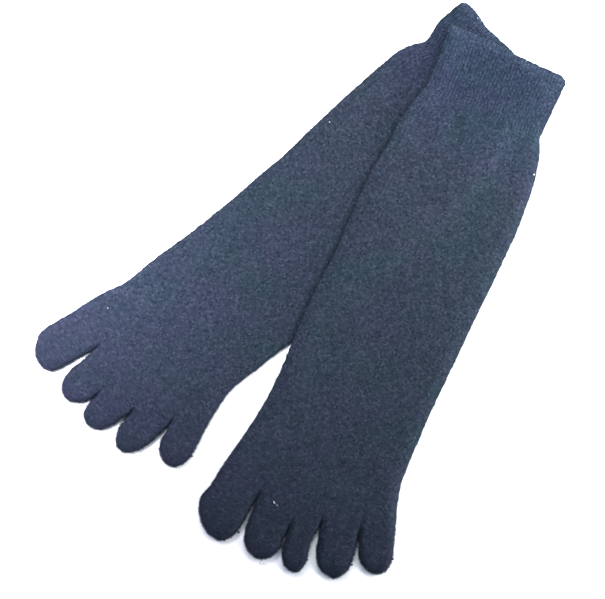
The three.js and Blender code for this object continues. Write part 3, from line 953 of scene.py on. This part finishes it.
def build_sock(sock, drape, above=None):
    """Makes a sock's pieces; gives them, their cuts, their upper panels and the nap on them."""
    pattern, depths = body_pattern(sock)
    body = [placed(sock, panel, drape) for panel in body_panels(sock, pattern, depths, above)]
    body_uvs = []
    for panel in body:
        strips = [knit_uv(panel[:, strip_columns(k)], k * STRIP_WIDTH, STRIP_WIDTH, CUFF_DEPTH)
                  for k in range(5)]
        body_uvs.append(np.concatenate([*[strip[:, :-1] for strip in strips[:4]], strips[4]], axis=1))
    wrapped(body_uvs, 10 * STRIP_WIDTH)
    parts = [("leg_and_foot", body, body_uvs, PLAIN_KNIT, pattern)]
    for k in range(5):
        toe_flat, closing = toe_pattern(sock, k)
        toe = [placed(sock, panel, drape) for panel in toe_panels(sock, k, toe_flat, closing)]
        toe_uvs = []
        for panel, foot_panel, foot_uv in zip(toe, body, body_uvs):
            panel[0] = foot_panel[-1, strip_columns(k)]
            uv = knit_uv(panel, k * STRIP_WIDTH, STRIP_WIDTH, 0.0)
            uv[..., 1] += foot_uv[-1, strip_columns(k), 1]
            toe_uvs.append(uv)
        parts.append((sock["toes"][k][0], toe, wrapped(toe_uvs, 10 * STRIP_WIDTH), TOE_KNIT, toe_flat))
    cuff_flat = cuff_panels(sock, above)
    cuff = [placed(sock, panel, drape) for panel in cuff_flat]
    cuff_uvs = [knit_uv(panel, 0.0, CUFF_WIDTH, 0.0) for panel in cuff]
    parts.append(("ribbed_cuff", cuff, wrapped(cuff_uvs, 2 * CUFF_WIDTH), RIB_KNIT, cuff_flat[0][..., :2]))

    pieces, cuts = {}, {}
    for name, panels, uvs, finish, flat in parts:
        pieces[name] = skin(sock["name"] + "_" + name, panels, uvs)
        pieces[name].data.materials.append(finish)
        cuts[name] = cut_of(flat)
    worked(pieces["ribbed_cuff"], RIBS)
    nap = joined(sock["name"] + "_fibre_ends", pieces.values())
    worked(nap, FIBRE_ENDS, Seed=sock["seed"])
    for piece in pieces.values():
        give_wall(piece)
    return pieces, cuts, [part[1][0] for part in parts], nap


# ---- camera, lamps and table

LENS, FILM_WIDTH = 135.0, 36.0
VIEW_WIDTH, VIEW_HEIGHT = 363.0, 4.0  # what the camera takes in, at the height of the socks' tops
LAMP_SIZE = 160.0
TABLE_HALF = 3.0  # in metres


def camera_above():
    """The camera, straight above the socks, a little left of their middle."""
    data = bpy.data.cameras.new("camera")
    data.lens, data.sensor_width = LENS, FILM_WIDTH
    data.clip_end = 10.0
    camera = new_object("camera", data)
    distance = VIEW_WIDTH / FILM_WIDTH * LENS
    camera.location = Vector((1.94, -5.17, distance + VIEW_HEIGHT)) * MM
    bpy.context.scene.camera = camera


def soft_light(name, place, aim, power, beam=180.0, colour=(1.0, 1.0, 1.0)):
    """A square soft light at a place, turned to a point on the table; its beam is in degrees."""
    data = bpy.data.lights.new(name, "AREA")
    data.shape = "SQUARE"
    data.size = LAMP_SIZE * MM
    data.energy = power
    data.spread = math.radians(beam)
    data.color = colour
    light = new_object(name, data)
    light.location = Vector(place) * MM
    light.rotation_euler = (Vector(aim) - Vector(place)).to_track_quat("-Z", "Y").to_euler()
    light.visible_camera = False


def table_top():
    """A pale, plain floor under the socks."""
    mesh = bpy.data.meshes.new("floor")
    corners = [(TABLE_HALF * x, TABLE_HALF * y, 0) for x, y in ((-1, -1), (1, -1), (1, 1), (-1, 1))]
    mesh.from_pydata(corners, [], [(0, 1, 2, 3)])
    mesh.materials.append(plain_finish("white_paper", "#fafafa", 0.8))
    floor = new_object("floor", mesh)


camera_above()
under, under_cuts, under_panels, under_nap = build_sock(UNDER_SOCK, lies_on_table, OVER_SOCK)
surfaces = [panel_tree(panel) for panel in under_panels]
over, over_cuts, over_panels, over_nap = build_sock(OVER_SOCK, lies_over(surfaces, OVER_BOX))

table_top()
soft_light("lamp_left", (-230, 60, 200), (-215, 50, 0), 1.70, 110.0, (1.02, 0.96, 1.14))
soft_light("lamp_low_right", (520, 60, 60), (120, 40, 0), 9.0)
soft_light("lamp_back_right", (250, 160, 260), (170, 90, 0), 0.40, 110.0)
soft_light("lamp_front_right", (360, -140, 200), (60, -60, 0), 1.5)
soft_light("lamp_back", (0, 330, 300), (20, 220, 0), 1.57, 110.0)
world = bpy.data.worlds.new("room")
bpy.context.scene.world = world
world.use_nodes = True
room_light = world.node_tree.nodes["Background"].inputs
room_light["Color"].default_value = (0.70, 0.82, 1.0, 1.0)
room_light["Strength"].default_value = 0.46
bpy.context.scene.view_settings.view_transform = "Standard"

# ---- what clings to the knit

# curls on the knit: x, y, reach, turns, strand, heading, how much longer than wide
CAUGHT = [
    (-15.2, -126.7, 0.22, 0.8, 0.16, 2.16, 4.0), (-13.4, -128.4, 0.20, 0.7, 0.07, 2.30, 4.0),
    (18.4, 101.3, 0.35, 0.8, 0.13, 0.4, 1.4), (141.1, 69.8, 0.45, 1.1, 0.20, 1.0, 1.2),
    (-114.8, -10.3, 0.30, 0.9, 0.09, 0.8, 1.3), (107.2, 163.7, 0.30, 1.0, 0.07, 2.0, 1.6),
    (-22.4, -163.3, 1.60, 0.9, 0.18, 0.2, 1.2), (-20.4, -163.6, 0.90, 0.8, 0.14, 1.2, 1.2),
]
# where a toe's closing seam was finished off
FINISHED_OFF = [
    (-36.4, -144.9, 0.55, 1.2, 0.30, 0.9, 1.3), (56.3, -160.8, 0.55, 1.1, 0.32, 2.4, 1.2),
    (4.8, -161.3, 0.45, 1.2, 0.28, 0.6, 1.2), (31.6, -164.1, 0.45, 1.0, 0.28, 2.8, 1.3),
    (-64.7, -99.2, 0.60, 1.2, 0.34, 0.5, 1.2),
]
surfaces += [panel_tree(panel) for panel in over_panels]
for name, curls, kind in (("caught_lint", CAUGHT, CAUGHT_LINT), ("yarn_ends", FINISHED_OFF, YARN_ENDS)):
    strands = new_object(name, bpy.data.meshes.new(name))
    for x, y, reach, turns, strand, heading, longer in curls:
        found = [tree.find_nearest(Vector((x, y, FEEL_FROM)), 2 * FEEL_FROM)[0] for tree in surfaces]
        near = min((p for p in found if p), key=lambda p: (math.hypot(p.x - x, p.y - y) // SAME_SPOT, -p.z))
        spot = Vector((x, y, near.z + 0.5 * strand)) * MM
        worked(strands, kind, Place=spot, Reach=reach * MM, Turns=turns, Strand=strand * MM,
               Heading=heading, Long=longer)
    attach(strands, "root")

# ---- each piece and its nap hang on the root body, and the CAD part a piece replaces is hidden

for sock, pieces, cuts, nap in (
        (UNDER_SOCK, under, under_cuts, under_nap), (OVER_SOCK, over, over_cuts, over_nap)):
    for name, piece in pieces.items():
        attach(piece, "root")
        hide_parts(sock["name"] + "_" + name)
    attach(nap, "root")
